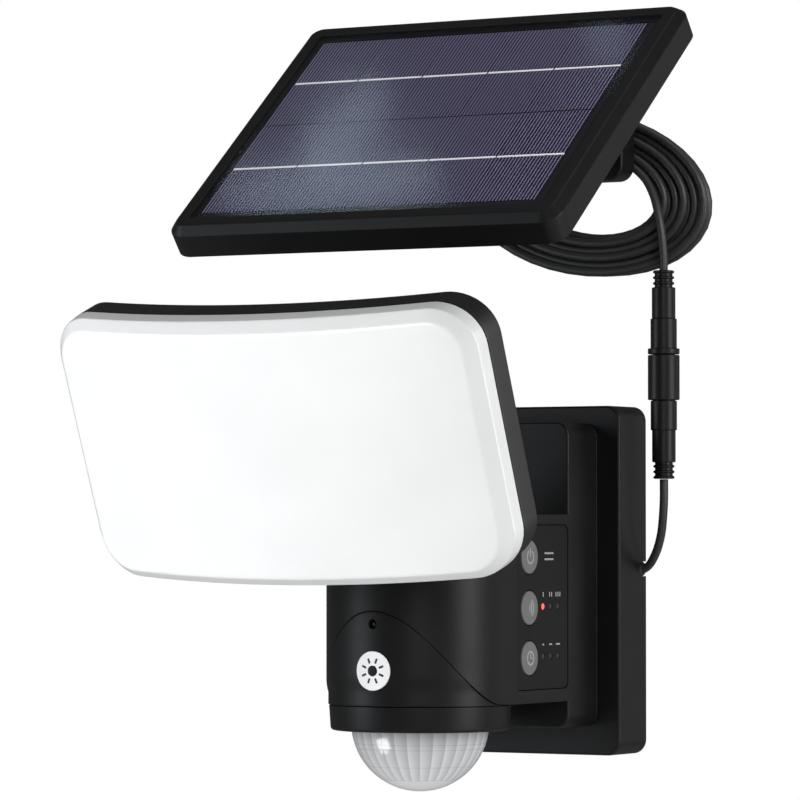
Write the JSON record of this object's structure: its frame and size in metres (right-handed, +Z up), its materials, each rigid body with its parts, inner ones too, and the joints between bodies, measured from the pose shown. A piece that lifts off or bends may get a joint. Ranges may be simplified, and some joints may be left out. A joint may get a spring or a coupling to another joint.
{
  "type": "solar flood light",
  "caption": "Wall flood light with a curved opal head, a motion sensor below, a side keypad, and a tilting solar panel on its own foot joined by a coiled lead.",
  "frame": {"origin": "the middle of the lamp's back, on the wall", "axes": "+Z up the wall, -Y forward out of the wall, +X to the keypad's side"},
  "size_m": [0.2051, 0.2612, 0.3372],
  "materials": {
    "black_plastic": "fine textured",
    "plated_steel": "zinc plated",
    "seal_rubber": "matte",
    "lead_jacket": "satin",
    "circuit_board": "solder mask",
    "button_grey": "satin",
    "badge_white": "printed",
    "smoked_window": "clear smoked",
    "sensor_lens": "translucent",
    "led_red": "lit",
    "led_off": "tinted",
    "dark_parts": "moulded",
    "cell_sleeve": "shrink sleeve",
    "aluminium": "mill",
    "board_white": "solder mask",
    "led_phosphor": "phosphor",
    "diffuser_white": "opal",
    "panel_glass": "tempered",
    "cell_blue": "silicon",
    "ribbon": "tinned"
  },
  "bodies": {
    "lamp_body": {"wall_bracket": "plated_steel", "wall_plate": "black_plastic", "lock_screws": "plated_steel", "body_seal": "seal_rubber", "body_screws": "plated_steel", "body_shell": "black_plastic", "front_cover": "black_plastic", "badge": "badge_white", "light_sensor": "smoked_window", "sensor_ring": "black_plastic", "sensor_dome": "sensor_lens", "sensor_board": "circuit_board", "motion_detector": "plated_steel", "keypad": "black_plastic", "lit_led": "led_red", "status_leds": "led_off", "control_board": "circuit_board", "button_switches": "dark_parts", "battery_cells": "cell_sleeve", "battery_holder": "dark_parts", "main_board": "circuit_board", "swivel_washer": "seal_rubber", "panel_foot": "black_plastic", "foot_screws": "plated_steel", "panel_lead": "lead_jacket", "lead_coil": "lead_jacket", "coil_tie": "lead_jacket", "lead_drop": "lead_jacket", "lead_plug": "black_plastic", "tail_socket": "black_plastic", "tail_cable": "lead_jacket"},
    "swivel": {"swivel_arm": "black_plastic", "swivel_nut": "plated_steel"},
    "head": {"head_bracket": "black_plastic", "head_bracket_screws": "plated_steel", "tilt_washers": "plated_steel", "tilt_bolt": "plated_steel", "head_housing": "black_plastic", "head_seal": "seal_rubber", "heat_spreader": "aluminium", "led_boards": "board_white", "led_chips": "led_phosphor", "diffuser": "diffuser_white"},
    "tilt_clamp_knob": {"tilt_knob": "black_plastic"},
    "mode_button": {"button_mode": "button_grey"},
    "sens_button": {"button_sens": "button_grey"},
    "time_button": {"button_time": "button_grey"},
    "solar_panel": {"panel_lugs": "black_plastic", "lug_screws": "plated_steel", "pivot_bolt": "plated_steel", "panel_frame": "black_plastic", "panel_back": "black_plastic", "panel_glass": "panel_glass", "solar_cells": "cell_blue", "cell_ribbons": "ribbon", "back_sheet": "dark_parts", "junction_box": "black_plastic", "panel_gland": "black_plastic"},
    "panel_clamp_knob": {"panel_knob": "black_plastic"},
    "plug_nut": {"coupling_nut": "black_plastic"}
  },
  "joints": [
    {"name": "head_swivel", "type": "hinge", "parent": "lamp_body", "child": "swivel", "pos_m": [0, -0.1127, 0.0303], "axis": [0, 0, 1], "range_deg": [-60, 60]},
    {"name": "head_tilt_hinge", "type": "hinge", "parent": "swivel", "child": "head", "pos_m": [0, -0.1958, 0.06104], "axis": [1, 0, 0], "range_deg": [-22, 30]},
    {"name": "tilt_knob_turn", "type": "hinge", "parent": "head", "child": "tilt_clamp_knob", "pos_m": [0, -0.1958, 0.06104], "axis": [1, 0, 0], "range_deg": [-180, 180]},
    {"name": "mode_press", "type": "slide", "parent": "lamp_body", "child": "mode_button", "axis": [-1, 0, 0], "range_m": [0, 0.0008], "stiffness_N_per_m": 900, "springref_m": -0.0006},
    {"name": "sens_press", "type": "slide", "parent": "lamp_body", "child": "sens_button", "axis": [-1, 0, 0], "range_m": [0, 0.0008], "stiffness_N_per_m": 900, "springref_m": -0.0006},
    {"name": "time_press", "type": "slide", "parent": "lamp_body", "child": "time_button", "axis": [-1, 0, 0], "range_m": [0, 0.0008], "stiffness_N_per_m": 900, "springref_m": -0.0006},
    {"name": "panel_tilt_hinge", "type": "hinge", "parent": "lamp_body", "child": "solar_panel", "pos_m": [0.01, -0.11163, 0.18335], "axis": [1, 0, 0], "range_deg": [-29, 25]},
    {"name": "panel_knob_turn", "type": "hinge", "parent": "solar_panel", "child": "panel_clamp_knob", "pos_m": [0.01, -0.11163, 0.18335], "axis": [1, 0, 0], "range_deg": [-180, 180]},
    {"name": "plug_nut_turn", "type": "hinge", "parent": "lamp_body", "child": "plug_nut", "pos_m": [0.0678, -0.0151, 0.0895], "axis": [0, 0, 1], "range_deg": [-180, 180]}
  ]
}
